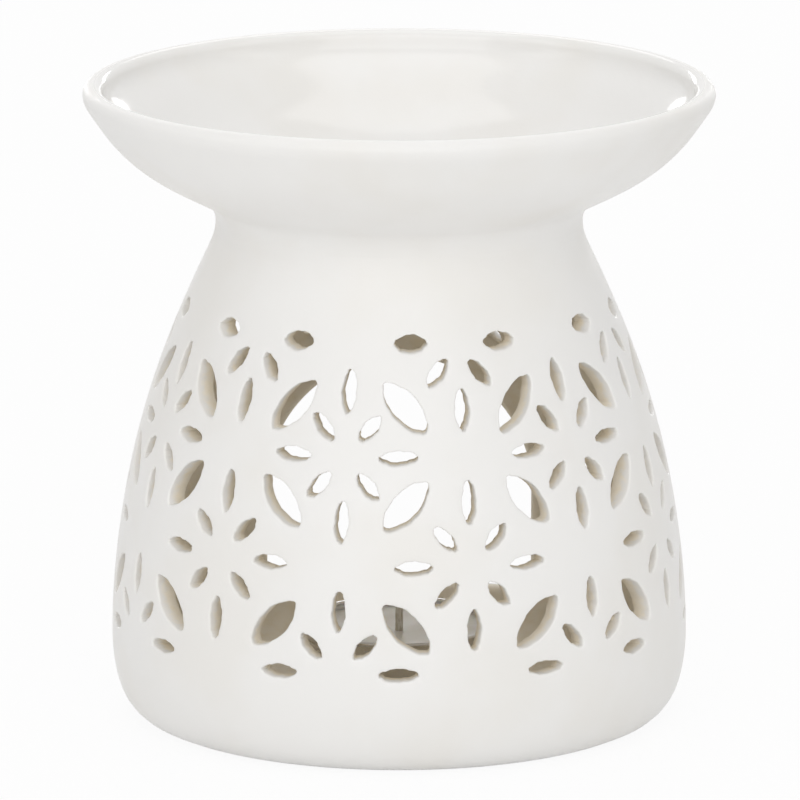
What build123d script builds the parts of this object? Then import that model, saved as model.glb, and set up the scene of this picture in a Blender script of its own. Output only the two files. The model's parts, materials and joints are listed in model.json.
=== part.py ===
from build123d import *
import math
import os

# Essential oil burner: a pierced ceramic bell with an oil dish on its neck and a tealight inside.
# Millimetres, +Z up, origin on the table under the middle of the foot.
# The front is -Y and the arched opening for the tealight faces +Y.

# Outer form of the bell
foot_radius = 45.0
belly_radius = 55.05
belly_height = 15.5
neck_radius = 34.9
neck_height = 95.2
wall = 4.0
floor_thickness = 4.0

# Oil dish
rim_radius = 60.0
dish_rise = 24.85
dish_wall = 3.9
dish_floor = 4.8
waist_fillet = 4.6
waist_turn = 62.0
waist_straight = 0.7

# Arched opening in the back
arch_radius = 26.0
arch_centre_height = 33.0
arch_sill_height = 11.8
arch_margin = 3.0
arch_edge_radius = 1.3

# Pierced lattice: rows of nodes with leaves between them
row_count = 4
top_row_below_neck = 15.2
bottom_row_height = 20.0
front_columns = 12
back_columns = 2
column_step = 27.1
lattice_turn = 1.44
cut_overrun = 5.0
seam_column = 9
seam_clearance = 2.3

# Leaf-shaped cuts: shares of the pitch of the rows for length, width and place
large_leaf_share = 0.605
large_leaf_width_share = 0.2475
large_leaf_drop_share = 0.065
upright_leaf_share = 0.39
upright_leaf_width_share = 0.128
upright_leaf_rise_share = 0.09
level_leaf_share = 0.3625
level_leaf_width_share = 0.12
small_leaf_share = 0.3
small_leaf_width_share = 0.125
small_leaf_offset_share = 0.26

# Turns of the leaves about the axis, from the middle of a cell and from a node
level_leaf_turn = 1.54
small_leaf_turn = 5.4

# Unevenness of cuts made by hand: how far it goes, and how it changes from cut to cut
hand_turn = 1.6
hand_turn_step = 1.7
hand_shift = 0.15
hand_shift_step = 3.1
hand_size_share = 0.025
hand_size_step = 2.4

# Tealight
cup_radius = 19.0
cup_height = 13.0
cup_wall = 0.3
cup_taper = 0.5
cup_corner = 1.2
cup_bead = 0.45
wax_below_rim = 1.6
wax_dip = 0.5
wax_gap = 0.05
sustainer_radius = 6.25
sustainer_thickness = 0.3
sustainer_neck_radius = 1.35
sustainer_neck_height = 3.6
wick_radius = 0.75
wick_gap = 0.02
wick_above_wax = 6.0
wick_bend_radius = 6.0
wick_bend = 28.0
tealight_rest_gap = 0.15

# Foot curve, flank and dish curves: shares of the width and of the rise between their ends
foot_curve_shares = ((0.455, 0.045), (0.714, 0.1935), (0.941, 0.581))
flank_shares = (
    (0.9235, 0.257),
    (0.737, 0.4955),
    (0.447, 0.7215),
    (0.078, 0.935),
    (0.017, 0.9725),
)
dish_outside_shares = ((0.549, 0.352), (0.8155, 0.650), (0.939, 0.849))
dish_inside_shares = ((0.943, 0.776), (0.847, 0.504), (0.731, 0.285), (0.588, 0.098))
dish_flat_share = 0.40

# Values worked out from the sizes above
lip_height = neck_height + dish_rise
top_row_height = neck_height - top_row_below_neck
row_pitch = (top_row_height - bottom_row_height) / (row_count - 1)

# Directions and turns
level = (1, 0)
upright = (0, 1)
full_turn = 360
quarter_turn = 90
diagonal = math.radians(45)


def between(start, end, share):
    """A value part of the way from start to end."""
    return start + (end - start) * share


def flank_curve(inset):
    """Side of the bell from belly to neck, moved in by inset."""
    belly = belly_radius - inset
    neck = neck_radius - inset
    points = [(belly, belly_height)]
    for width_share, rise_share in flank_shares:
        points.append((between(neck, belly, width_share), between(belly_height, neck_height, rise_share)))
    points.append((neck, neck_height))
    return Spline(points, tangents=[upright, upright])


def foot_curve(inset, base_height):
    """Turn from the level base up to the belly, moved in by inset."""
    start = foot_radius - inset
    belly = belly_radius - inset
    points = [(start, base_height)]
    for width_share, rise_share in foot_curve_shares:
        points.append((between(start, belly, width_share), between(base_height, belly_height, rise_share)))
    points.append((belly, belly_height))
    return Spline(points, tangents=[level, upright])


def revolved(edges):
    """Turn a closed half section in the XZ plane about the Z axis."""
    section = Plane.XZ * make_face(edges)
    return revolve(section, Axis.Z)


def bell_shell():
    """Plain hollow bell with its floor, open at the neck."""
    outer_foot = foot_curve(0, 0)
    outer_flank = flank_curve(0)
    inner_flank = flank_curve(wall)
    inner_foot = foot_curve(wall, floor_thickness)
    edges = [
        Line((0, 0), outer_foot @ 0),
        outer_foot,
        outer_flank,
        Line(outer_flank @ 1, inner_flank @ 1),
        inner_flank,
        inner_foot,
        Line(inner_foot @ 0, (0, floor_thickness)),
        Line((0, floor_thickness), (0, 0)),
    ]
    seam = column_angles()[seam_column] + seam_clearance
    return Rot(0, 0, seam - quarter_turn) * revolved(edges)


def arch_cutter():
    """Round-topped opening from the middle of the chamber out through the back wall."""
    left_foot = (-arch_radius, arch_sill_height)
    right_foot = (arch_radius, arch_sill_height)
    left_top = (-arch_radius, arch_centre_height)
    right_top = (arch_radius, arch_centre_height)
    crown = (0, arch_centre_height + arch_radius)
    outline = [
        Line(left_foot, right_foot),
        Line(right_foot, right_top),
        ThreePointArc(right_top, crown, left_top),
        Line(left_top, left_foot),
    ]
    face = Plane.XZ * make_face(outline)
    return extrude(face, amount=belly_radius + cut_overrun, dir=(0, 1, 0))


def opened_bell():
    """Bell with the arched opening, its edges rounded on both faces of the wall."""
    shell = bell_shell()
    cutter = arch_cutter()
    opened = shell - cutter
    rims = new_edges(shell, cutter, combined=opened).filter_by(GeomType.LINE, reverse=True)
    return fillet(rims, min(arch_edge_radius, wall / 3))


def column_angles():
    """Angles of the node columns, in degrees from the front towards +X."""
    middle = (front_columns - 1) / 2
    angles = [lattice_turn + (index - middle) * column_step for index in range(front_columns)]
    gap = angles[0] + full_turn - angles[-1]
    for index in range(back_columns):
        angles.append(angles[front_columns - 1] + gap * (index + 1) / (back_columns + 1))
    return angles


def row_height(row):
    """Height of a row of nodes, counted down from the top one."""
    return top_row_height - row * row_pitch


def bell_radius(height):
    """Outer radius of the bell at a height, on straight chords between the flank's points."""
    points = [(belly_radius, belly_height)]
    for width_share, rise_share in flank_shares:
        width = between(neck_radius, belly_radius, width_share)
        points.append((width, between(belly_height, neck_height, rise_share)))
    points.append((neck_radius, neck_height))
    for (low_radius, low_height), (high_radius, high_height) in zip(points, points[1:]):
        if height <= high_height:
            share = max(0, (height - low_height) / (high_height - low_height))
            return between(low_radius, high_radius, share)
    return neck_radius


def clear_of_arch(angle, height, tilt, length):
    """Whether a leaf keeps its margin to the arched opening, on both faces of the wall."""
    turn = math.radians(angle)
    if math.cos(turn) > 0:
        return True
    outer = bell_radius(height)
    for radius in (outer, outer - wall):
        for reach in (-length / 2, 0, length / 2):
            across = reach * math.cos(math.radians(tilt)) - radius * math.sin(turn)
            tip_height = height + reach * math.sin(math.radians(tilt))
            above = max(0, tip_height - arch_centre_height)
            if math.hypot(across, above) < arch_radius + arch_margin:
                return False
    return True


def leaf_cutter(angle, height, tilt, length, width, serial):
    """Leaf-shaped prism that runs level through the wall towards the axis."""
    size = 1 + hand_size_share * math.sin(serial * hand_size_step)
    tilt = tilt + hand_turn * math.sin(serial * hand_turn_step)
    half_length = length * size / 2
    half_width = width * size / 2
    outline = [
        ThreePointArc((-half_length, 0), (0, -half_width), (half_length, 0)),
        ThreePointArc((half_length, 0), (0, half_width), (-half_length, 0)),
    ]
    turn = math.radians(angle)
    outward = Vector(math.sin(turn), -math.cos(turn), 0)
    sideways = Vector(math.cos(turn), math.sin(turn), 0)
    start_radius = bell_radius(height) + cut_overrun
    shift = hand_shift * math.sin(serial * hand_shift_step)
    origin = outward * start_radius + Vector(0, 0, height + shift)
    plane = Plane(origin=origin, x_dir=sideways, z_dir=outward)
    face = plane * (Rot(0, 0, tilt) * make_face(outline))
    depth = wall + 2 * cut_overrun
    return extrude(face, amount=depth, dir=outward * -1)


def lattice_leaves():
    """Angle, height, tilt, length and width of every leaf in the lattice."""
    angles = column_angles()
    gaps = [(right - left) % full_turn for left, right in zip(angles, angles[1:] + angles[:1])]
    leaves = []
    for row in range(row_count):
        height = row_height(row)
        for column, angle in enumerate(angles):
            open_node = (row + column) % 2 == 0
            leaves.append(level_leaf(angle, gaps[column], height, open_node))
            if row + 1 < row_count:
                leaves.append(upright_leaf(angle, height, open_node))
                leaves.append(large_leaf(angle, gaps[column], row, open_node))
            if open_node:
                leaves.extend(node_leaves(angle, gaps[column - 1], gaps[column], row))
    return leaves


def level_leaf(angle, gap, height, open_node):
    """Lying leaf between a node and the next one, nearer to the open node of the two."""
    share = gap / column_step
    towards = -1 if open_node else 1
    middle = angle + gap / 2 + towards * level_leaf_turn
    pitch = row_pitch * share
    return (middle, height, 0, pitch * level_leaf_share, pitch * level_leaf_width_share)


def upright_leaf(angle, height, open_node):
    """Standing leaf below a node, nearer to the closed node of the two that it joins."""
    away = -1 if open_node else 1
    middle = height - row_pitch / 2 + away * row_pitch * upright_leaf_rise_share
    length = row_pitch * upright_leaf_share
    return (angle, middle, quarter_turn, length, row_pitch * upright_leaf_width_share)


def large_leaf(angle, gap, row, open_node):
    """Large leaf across the cell below and beside a node, from closed node to closed node."""
    share = gap / column_step
    middle = row_height(row) - row_pitch / 2
    across = bell_radius(middle) * math.radians(gap)
    rising = 1 if open_node else -1
    slope = rising * math.degrees(math.atan2(row_pitch, across))
    drop = row_pitch * (large_leaf_drop_share if row % 2 == 0 else -large_leaf_drop_share)
    pitch = row_pitch * share
    length = pitch * large_leaf_share
    return (angle + gap / 2, middle - drop, slope, length, pitch * large_leaf_width_share)


def node_leaves(angle, left_gap, right_gap, row):
    """Small leaves that point at an open node from its diagonals."""
    sides = [-1] if row == 0 else [1]
    if 0 < row < row_count - 1:
        sides.append(-1)
    offset = row_pitch * small_leaf_offset_share
    leaves = []
    for side in sides:
        height = row_height(row) + side * offset
        for hand, gap in ((-1, left_gap), (1, right_gap)):
            share = gap / column_step
            turn = small_leaf_turn * share
            reach = bell_radius(height) * math.radians(turn)
            slope = side * hand * math.degrees(math.atan2(offset, reach))
            length = row_pitch * share * small_leaf_share
            width = row_pitch * share * small_leaf_width_share
            leaves.append((angle + hand * turn, height, slope, length, width))
    return leaves


def pierced_body():
    """Bell with the arched opening and the pierced lattice."""
    leaves = []
    for serial, leaf in enumerate(lattice_leaves()):
        angle, height, tilt, length, width = leaf
        if clear_of_arch(angle, height, tilt, length):
            leaves.append(leaf_cutter(angle, height, tilt, length, width, serial))
    print("leaves cut through the wall:", len(leaves))
    return opened_bell() - leaves


def oil_dish():
    """Round dish that closes the neck and carries the oil."""
    turn = math.radians(waist_turn)
    half_turn = turn / 2
    fillet_start = (neck_radius, neck_height + waist_straight)
    fillet_middle = (
        neck_radius + waist_fillet * (1 - math.cos(half_turn)),
        neck_height + waist_straight + waist_fillet * math.sin(half_turn),
    )
    fillet_end = (
        neck_radius + waist_fillet * (1 - math.cos(turn)),
        neck_height + waist_straight + waist_fillet * math.sin(turn),
    )
    outside = [fillet_end]
    for width_share, rise_share in dish_outside_shares:
        radius = between(fillet_end[0], rim_radius, width_share)
        outside.append((radius, between(fillet_end[1], lip_height, rise_share)))
    outside.append((rim_radius, lip_height))
    crest = (rim_radius - dish_wall / 2, lip_height + dish_wall / 2)
    inner_rim = rim_radius - dish_wall
    floor_height = neck_height + dish_floor
    inside = [(inner_rim, lip_height)]
    for width_share, rise_share in dish_inside_shares:
        inside.append((inner_rim * width_share, between(floor_height, lip_height, rise_share)))
    inside.append((inner_rim * dish_flat_share, floor_height))
    edges = [
        Line((0, neck_height), (neck_radius, neck_height)),
        Line((neck_radius, neck_height), fillet_start),
        ThreePointArc(fillet_start, fillet_middle, fillet_end),
        Spline(outside, tangents=[(math.sin(turn), math.cos(turn)), upright]),
        ThreePointArc((rim_radius, lip_height), crest, (inner_rim, lip_height)),
        Spline(inside, tangents=[(0, -1), (-1, 0)]),
        Line(inside[-1], (0, floor_height)),
        Line((0, floor_height), (0, neck_height)),
    ]
    return revolved(edges)


def cup_outline(inset, base_height, top_height):
    """Open half outline of the tealight cup from its axis out and up, moved in by inset."""
    top_radius = cup_radius - cup_bead - inset
    base_radius = top_radius - cup_taper
    corner = cup_corner - base_height
    corner_height = base_height + corner
    start = (base_radius - corner, base_height)
    middle = (
        base_radius - corner * (1 - math.sin(diagonal)),
        corner_height - corner * math.cos(diagonal),
    )
    end = (base_radius, corner_height)
    return [
        Line((0, base_height), start),
        ThreePointArc(start, middle, end),
        Line(end, (top_radius, top_height)),
    ]


def tealight_cup():
    """Thin pressed cup with a rolled rim."""
    bead_height = cup_height - cup_bead
    outer = cup_outline(0, 0, bead_height)
    inner = cup_outline(cup_wall, cup_wall, bead_height)
    edges = outer + inner + [
        Line(outer[-1] @ 1, inner[-1] @ 1),
        Line((0, 0), (0, cup_wall)),
    ]
    bead = Pos(0, 0, bead_height) * Torus(cup_radius - cup_bead, cup_bead)
    return revolved(edges) + bead


def wick_sustainer():
    """Flat tin foot with a crimped neck that holds the wick upright."""
    base = cup_wall
    bore = wick_radius + wick_gap
    edges = Polyline(
        (bore, base),
        (sustainer_radius, base),
        (sustainer_radius, base + sustainer_thickness),
        (sustainer_neck_radius, base + sustainer_thickness),
        (sustainer_neck_radius, base + sustainer_neck_height),
        (bore, base + sustainer_neck_height),
        close=True,
    )
    return revolved(edges)


def wick():
    """Cotton wick that stands straight through the wax and leans over at its tip."""
    base = cup_wall
    wax_top = cup_height - wax_below_rim
    turn = math.radians(wick_bend)
    arc_length = wick_bend_radius * turn
    bend_height = wax_top + wick_above_wax - arc_length
    straight = Line((0, 0, base), (0, 0, bend_height))
    bend_points = []
    for part_turn in (turn / 2, turn):
        lean = wick_bend_radius * (1 - math.cos(part_turn))
        bend_points.append((lean, 0, bend_height + wick_bend_radius * math.sin(part_turn)))
    bend = ThreePointArc(straight @ 1, *bend_points)
    section = Plane(origin=(0, 0, base), z_dir=(0, 0, 1)) * Circle(wick_radius)
    return sweep(section, path=straight + bend)


def tealight_wax():
    """Poured wax that fills the cup round the wick and its foot."""
    wax_top = cup_height - wax_below_rim
    outline = cup_outline(cup_wall + wax_gap, cup_wall, wax_top)
    edge_point = outline[-1] @ 1
    surface = Spline(
        [(0, wax_top - wax_dip), (edge_point.X / 2, wax_top - wax_dip / 2), (edge_point.X, wax_top)],
        tangents=[level, level],
    )
    edges = outline + [surface, Line((0, wax_top - wax_dip), (0, cup_wall))]
    well = Pos(0, 0, cup_height / 2) * Cylinder(wick_radius + wick_gap, cup_height)
    return revolved(edges) - wick_sustainer() - well


os.makedirs("parts", exist_ok=True)
tealight_place = Pos(0, 0, floor_thickness + tealight_rest_gap)
nodes = {
    "pierced_body": pierced_body(),
    "oil_dish": oil_dish(),
    "tealight_cup": tealight_place * tealight_cup(),
    "tealight_wax": tealight_place * tealight_wax(),
    "wick_sustainer": tealight_place * wick_sustainer(),
    "wick": tealight_place * wick(),
}
for name, solid in nodes.items():
    export_step(solid, f"parts/{name}.step")
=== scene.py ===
"""Looks of a ceramic essential oil burner: a pierced bell, an oil dish and the tealight inside."""

from __future__ import annotations

import json
import logging
import math
from dataclasses import dataclass, field
from enum import Enum
from typing import Callable, Sequence, Union

import bpy
import numpy as np
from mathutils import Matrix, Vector
from mathutils.geometry import delaunay_2d_cdt

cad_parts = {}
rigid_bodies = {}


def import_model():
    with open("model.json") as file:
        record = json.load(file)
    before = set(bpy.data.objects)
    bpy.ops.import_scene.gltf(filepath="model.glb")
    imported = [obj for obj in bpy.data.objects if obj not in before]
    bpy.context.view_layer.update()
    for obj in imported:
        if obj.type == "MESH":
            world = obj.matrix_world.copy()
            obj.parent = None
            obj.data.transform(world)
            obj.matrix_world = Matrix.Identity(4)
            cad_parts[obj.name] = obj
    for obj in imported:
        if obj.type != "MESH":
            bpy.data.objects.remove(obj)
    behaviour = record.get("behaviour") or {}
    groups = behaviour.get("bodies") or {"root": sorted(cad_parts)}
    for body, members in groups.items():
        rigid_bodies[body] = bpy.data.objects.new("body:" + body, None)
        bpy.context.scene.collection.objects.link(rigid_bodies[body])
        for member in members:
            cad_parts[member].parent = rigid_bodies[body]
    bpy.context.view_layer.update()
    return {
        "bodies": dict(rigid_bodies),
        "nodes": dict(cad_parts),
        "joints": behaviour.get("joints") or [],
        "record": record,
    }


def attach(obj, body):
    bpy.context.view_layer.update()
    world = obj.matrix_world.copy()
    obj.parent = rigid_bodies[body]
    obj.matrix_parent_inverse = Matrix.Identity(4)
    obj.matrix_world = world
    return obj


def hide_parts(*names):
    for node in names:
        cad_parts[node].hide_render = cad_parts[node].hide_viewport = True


Pair = tuple[float, float]
Place = tuple[float, float, float]
Colour = tuple[float, float, float, float]
Socket = bpy.types.NodeSocket
Value = Union[float, Socket]
Piece = bpy.types.Object

MM = 0.001
FULL_TURN = 2 * math.pi
QUARTER_DEGREES, HALF_DEGREES, FULL_DEGREES = 90, 180, 360
SMOOTH_ANGLE = math.radians(34)
# Where the bell and the dish meet, and the floor that the tealight stands on
NECK_RADIUS = 34.9 * MM
NECK_HEIGHT = 95.2 * MM
CHAMBER_FLOOR = 4.0 * MM
# Vertices nearer to each other than this are one
WELD = 0.002 * MM
# Range of a share, and the range that cloudy noise mostly keeps to
WHOLE: Pair = (0, 1)
MIDDLE: Pair = (0.3, 0.7)

log = logging.getLogger("oil_burner")


class Body(Enum):
    """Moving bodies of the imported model."""

    BURNER = "burner"
    TEALIGHT = "tealight"


class Slot(Enum):
    """Material slots of the record."""

    SATIN_GLAZE = "satin_glaze"
    GLOSS_GLAZE = "gloss_glaze"
    TEALIGHT_TIN = "tealight_tin"
    CANDLE_WAX = "candle_wax"
    COTTON_WICK = "cotton_wick"


class Mark(Enum):
    """Numbers of 0 to 1 stored on the ceramic for its glaze."""

    BARE = "bare"
    GLOSSY = "glossy"


class Blend(Enum):
    """What a Mix node blends: its data type, its two inputs and its output."""

    COLOURS = ("RGBA", 6, 7, 2)
    NUMBERS = ("FLOAT", 2, 3, 0)


def between(start: float, end: float, share: float) -> float:
    """A value part of the way from start to end."""
    return start + (end - start) * share


def smooth_curve(points: Sequence[Pair], start: Pair, end: Pair, count: int) -> np.ndarray:
    """Smooth cubic curve through points, paced by the lengths of its chords.

    Args:
        points: Radius and height of each point that the curve passes.
        start: Direction in which the curve leaves the first point.
        end: Direction in which it arrives at the last point.
        count: Number of points that are returned.

    Returns:
        An array of count rows, each a radius and a height.
    """
    knots = np.array(points, float)
    chords = np.linalg.norm(np.diff(knots, axis=0), axis=1)
    total = len(knots)
    matrix = np.zeros((total, total))
    right = np.zeros((total, 2))
    matrix[0, 0] = matrix[-1, -1] = 1
    right[0] = np.array(start) / np.linalg.norm(start)
    right[-1] = np.array(end) / np.linalg.norm(end)
    for i in range(1, total - 1):
        before, after = chords[i - 1], chords[i]
        matrix[i, i - 1 : i + 2] = (after, 2 * (before + after), before)
        rise_before = (knots[i] - knots[i - 1]) / before
        rise_after = (knots[i + 1] - knots[i]) / after
        right[i] = 3 * (after * rise_before + before * rise_after)
    slopes = np.linalg.solve(matrix, right)
    along = np.concatenate([[0], np.cumsum(chords)])
    places = np.linspace(0, along[-1], count)
    spans = np.clip(np.searchsorted(along, places, side="right") - 1, 0, total - 2)
    length = chords[spans][:, None]
    share = (places - along[spans])[:, None] / length
    square, cube = share**2, share**3
    return (
        (2 * cube - 3 * square + 1) * knots[spans]
        + (cube - 2 * square + share) * length * slopes[spans]
        + (3 * square - 2 * cube) * knots[spans + 1]
        + (cube - square) * length * slopes[spans + 1]
    )


def arc(centre: Pair, radius: float, first: float, last: float, steps: int) -> list[Pair]:
    """Points on an arc, both ends included, with its angles in degrees from the outward level."""
    turns = [math.radians(between(first, last, i / steps)) for i in range(steps + 1)]
    return [(centre[0] + radius * math.cos(t), centre[1] + radius * math.sin(t)) for t in turns]


def deselect_all() -> None:
    """Leave nothing selected, in object mode."""
    if bpy.context.object and bpy.context.object.mode != "OBJECT":
        bpy.ops.object.mode_set(mode="OBJECT")
    bpy.ops.object.select_all(action="DESELECT")


def select_only(piece: Piece) -> None:
    """Select one piece alone and make it active.

    Args:
        piece: The piece to work on.
    """
    deselect_all()
    piece.select_set(True)
    bpy.context.view_layer.objects.active = piece


def open_edit(piece: Piece) -> None:
    """Open a piece in edit mode with all of it selected.

    Args:
        piece: The piece to edit.
    """
    select_only(piece)
    bpy.ops.object.mode_set(mode="EDIT")
    bpy.ops.mesh.select_all(action="SELECT")


def close_edit() -> None:
    """Go back to object mode."""
    bpy.ops.object.mode_set(mode="OBJECT")


def apply_place(piece: Piece) -> None:
    """Put a piece's place, turn and scale into its mesh."""
    select_only(piece)
    bpy.ops.object.transform_apply(location=True, rotation=True, scale=True)


def face_outwards(piece: Piece) -> None:
    """Turn every face of a closed piece outwards.

    Args:
        piece: The piece, with its doubles merged.
    """
    open_edit(piece)
    bpy.ops.mesh.normals_make_consistent(inside=False)
    close_edit()


def shade(piece: Piece) -> None:
    """Shade a piece smooth, but for its sharp edges."""
    select_only(piece)
    bpy.ops.object.shade_smooth_by_angle(angle=SMOOTH_ANGLE)


def places_of(piece: Piece) -> np.ndarray:
    """Where the vertices of a piece lie.

    Args:
        piece: A piece that is not in edit mode.

    Returns:
        Rows of X, Y and Z.
    """
    values = np.zeros(len(piece.data.vertices) * 3, np.float32)
    piece.data.vertices.foreach_get("co", values)
    return values.reshape(-1, 3).astype(float)


def pick_points(piece: Piece, chosen: np.ndarray) -> None:
    """Open a piece in edit mode with only some of its vertices selected.

    Args:
        piece: The piece to edit.
        chosen: Whether each vertex is selected.
    """
    open_edit(piece)
    bpy.ops.mesh.select_mode(type="VERT")
    bpy.ops.mesh.select_all(action="DESELECT")
    close_edit()
    piece.data.vertices.foreach_set("select", chosen)
    bpy.ops.object.mode_set(mode="EDIT")


def pick_faces(piece: Piece, wanted: Callable[[bpy.types.MeshPolygon], bool]) -> None:
    """Open a piece in edit mode with only some of its faces selected.

    Args:
        piece: The piece to edit.
        wanted: Says whether a face is selected.
    """
    open_edit(piece)
    bpy.ops.mesh.select_mode(type="FACE")
    bpy.ops.mesh.select_all(action="DESELECT")
    close_edit()
    for face in piece.data.polygons:
        face.select = wanted(face)
    bpy.ops.object.mode_set(mode="EDIT")


def write_numbers(piece: Piece, mark: Mark, values: np.ndarray) -> None:
    """Store one number for each vertex of a piece.

    Args:
        piece: The piece that carries the numbers.
        mark: What the numbers say.
        values: The numbers, in the order of the vertices.
    """
    attributes = piece.data.attributes
    layer = attributes.get(mark.value) or attributes.new(mark.value, "FLOAT", "POINT")
    layer.data.foreach_set("value", values.astype(np.float32))


def turned(name: str, outline: Sequence[Pair], steps: int, bored: bool = False) -> Piece:
    """Raise a disc ring by ring along an outline round the Z axis.

    Args:
        name: Name of the new piece.
        outline: Radius and height of each ring.
        steps: Number of points round each ring.
        bored: Whether the outline comes back to its start, which leaves a hole through the middle.

    Returns:
        The closed piece, with its faces outwards.
    """
    deselect_all()
    rings = list(outline) + ([outline[0]] if bored else [])
    radius, height = rings[0]
    bpy.ops.mesh.primitive_circle_add(vertices=steps, radius=radius, fill_type="NGON")
    piece = bpy.context.object
    piece.name = piece.data.name = name
    piece.location.z = height
    apply_place(piece)
    open_edit(piece)
    for next_radius, next_height in rings[1:]:
        rise = (0, 0, next_height - height)
        bpy.ops.mesh.extrude_region_move(TRANSFORM_OT_translate={"value": rise})
        scale = next_radius / radius
        bpy.ops.transform.resize(value=(scale, scale, 1), center_override=(0, 0, next_height))
        radius, height = next_radius, next_height
    close_edit()
    if bored:
        pick_faces(piece, lambda face: len(face.vertices) == steps)
        bpy.ops.mesh.delete(type="ONLY_FACE")
        bpy.ops.mesh.select_all(action="SELECT")
        bpy.ops.mesh.remove_doubles(threshold=WELD)
        close_edit()
    face_outwards(piece)
    return piece


@dataclass(frozen=True)
class Cloud:
    """Cloudy noise of a finish: its waves per metre, its detail and its stretch along each axis."""

    waves: float
    detail: float = 2.0
    stretch: Place = (1, 1, 1)


class Nodes:
    """A material's node tree, with short ways to add the nodes that a finish needs."""

    def __init__(self, name: str) -> None:
        """Start a material of one Principled shader.

        Args:
            name: Name of the material.
        """
        self.material = bpy.data.materials.new(name)
        self.material.use_nodes = True
        self.tree = self.material.node_tree
        self.shader = self.tree.nodes["Principled BSDF"]
        self.place = self.tree.nodes.new("ShaderNodeTexCoord").outputs["Object"]

    def _feed(self, socket: Socket, value: Value | Sequence[float]) -> None:
        """Give a socket its value.

        Args:
            socket: The socket that is fed.
            value: Another socket, which is linked, or a constant, which is set.
        """
        if isinstance(value, Socket):
            self.tree.links.new(value, socket)
        else:
            socket.default_value = value

    def dress(self, **values: Value | Sequence[float]) -> None:
        """Link or set sockets of the shader, named with underscores for spaces."""
        for key, value in values.items():
            self._feed(self.shader.inputs[key.replace("_", " ")], value)

    def stored(self, mark: Mark) -> Socket:
        """A number stored on the mesh.

        Args:
            mark: What the number says.

        Returns:
            The socket that gives it.
        """
        node = self.tree.nodes.new("ShaderNodeAttribute")
        node.attribute_name = mark.value
        return node.outputs["Fac"]

    def noise(self, cloud: Cloud) -> Socket:
        """Cloudy noise over the piece.

        Args:
            cloud: Its size, detail and stretch.

        Returns:
            A socket of 0 to 1.
        """
        mapping = self.tree.nodes.new("ShaderNodeMapping")
        mapping.inputs["Scale"].default_value = cloud.stretch
        node = self.tree.nodes.new("ShaderNodeTexNoise")
        node.inputs["Scale"].default_value = cloud.waves
        node.inputs["Detail"].default_value = cloud.detail
        self.tree.links.new(self.place, mapping.inputs["Vector"])
        self.tree.links.new(mapping.outputs["Vector"], node.inputs["Vector"])
        return node.outputs["Fac"]

    def carried(self, value: Socket, source: Pair, target: Pair) -> Socket:
        """Carry a value smoothly from one range to another, without going past it.

        Args:
            value: The value.
            source: The range that it is read from.
            target: The range that it is carried to.

        Returns:
            The value in its new range.
        """
        node = self.tree.nodes.new("ShaderNodeMapRange")
        node.interpolation_type = "SMOOTHSTEP"
        for key, number in zip(("From Min", "From Max", "To Min", "To Max"), (*source, *target)):
            node.inputs[key].default_value = number
        self.tree.links.new(value, node.inputs["Value"])
        return node.outputs["Result"]

    def _mix(self, blend: Blend, share: Socket, ends: Sequence[Value | Colour]) -> Socket:
        """Blend two colours or two numbers.

        Args:
            blend: Which of them are blended.
            share: How far from the first to the second, 0 to 1.
            ends: The first and the second.

        Returns:
            The blended value.
        """
        data_type, *inputs, output = blend.value
        node = self.tree.nodes.new("ShaderNodeMix")
        node.data_type = data_type
        self._feed(node.inputs["Factor"], share)
        for index, end in zip(inputs, ends):
            self._feed(node.inputs[index], end)
        return node.outputs[output]

    def mixed(self, share: Socket, first: Socket | Colour, second: Socket | Colour) -> Socket:
        """Blend two colours by a share of 0 to 1."""
        return self._mix(Blend.COLOURS, share, (first, second))

    def clouded(self, cloud: Socket, span: Pair, first: Colour, second: Colour) -> Socket:
        """Blend two colours by cloudy noise, from the first to the second over a span of it."""
        return self.mixed(self.carried(cloud, span, WHOLE), first, second)

    def blended(self, share: Socket, first: Value, second: Value) -> Socket:
        """Blend two numbers by a share of 0 to 1."""
        return self._mix(Blend.NUMBERS, share, (first, second))

    def added(self, first: Value, second: Value) -> Socket:
        """Add two numbers.

        Args:
            first: One number.
            second: The other.

        Returns:
            Their sum.
        """
        node = self.tree.nodes.new("ShaderNodeMath")
        self._feed(node.inputs[0], first)
        self._feed(node.inputs[1], second)
        return node.outputs["Value"]

    def relief(self, height: Socket, depth: float, under: Socket | None = None) -> Socket:
        """Fine relief of the surface.

        Args:
            height: Height of 0 to 1.
            depth: Distance in metres between those two.
            under: Relief that this one lies on.

        Returns:
            The direction that the surface faces.
        """
        node = self.tree.nodes.new("ShaderNodeBump")
        node.inputs["Distance"].default_value = depth
        self.tree.links.new(height, node.inputs["Height"])
        if under is not None:
            self.tree.links.new(under, node.inputs["Normal"])
        return node.outputs["Normal"]


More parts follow.
